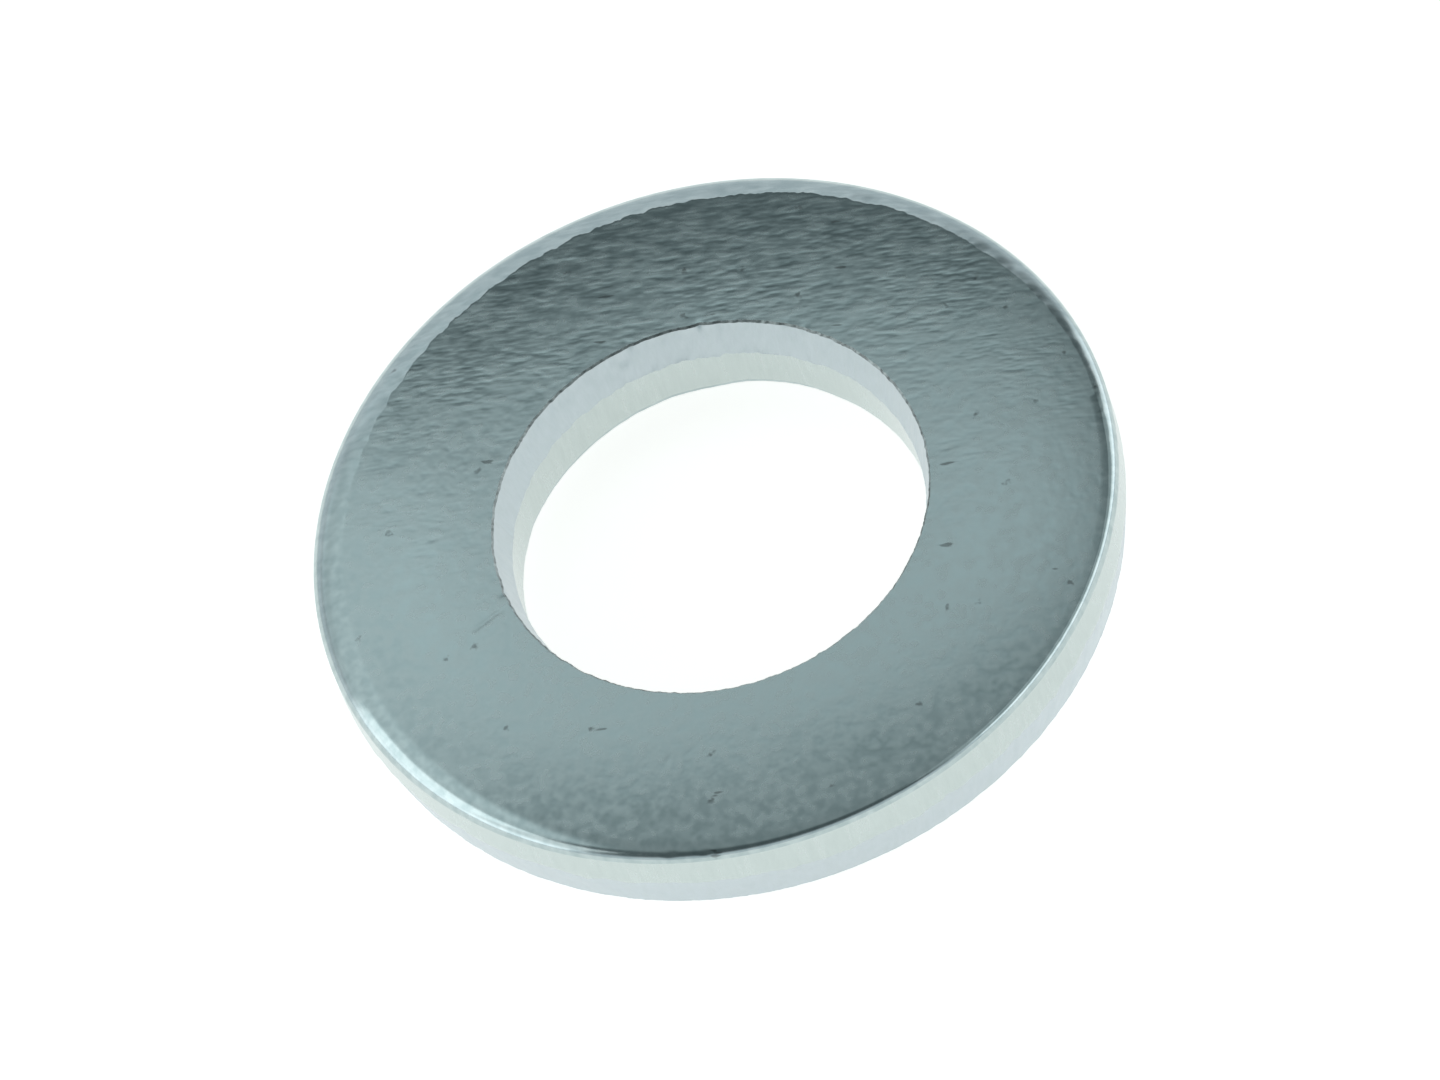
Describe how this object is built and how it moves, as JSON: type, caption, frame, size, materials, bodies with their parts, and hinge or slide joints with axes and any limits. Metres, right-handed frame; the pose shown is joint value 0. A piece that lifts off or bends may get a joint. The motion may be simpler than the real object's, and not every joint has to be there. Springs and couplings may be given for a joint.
{
  "type": "flat washer",
  "caption": "Plain flat washer, blanked from steel strip and zinc plated, with a rounded upper rim edge and a sheared bore for a bolt shank.",
  "frame": {"origin": "on the axis of the bore, in the plane of the lower bearing face", "axes": "+Z along the bore axis, from the lower face with the sharp rim edge to the upper face with the rounded rim edge; X and Y are free, the part is round"},
  "size_m": [0.0125, 0.0124, 0.0016],
  "materials": {
    "zinc_plate": "satin zinc plate with a faint blue-grey tint, rolled strip texture on the faces, brighter sheared walls"
  },
  "bodies": {
    "root": {"washer_ring": "zinc_plate"}
  },
  "joints": []
}
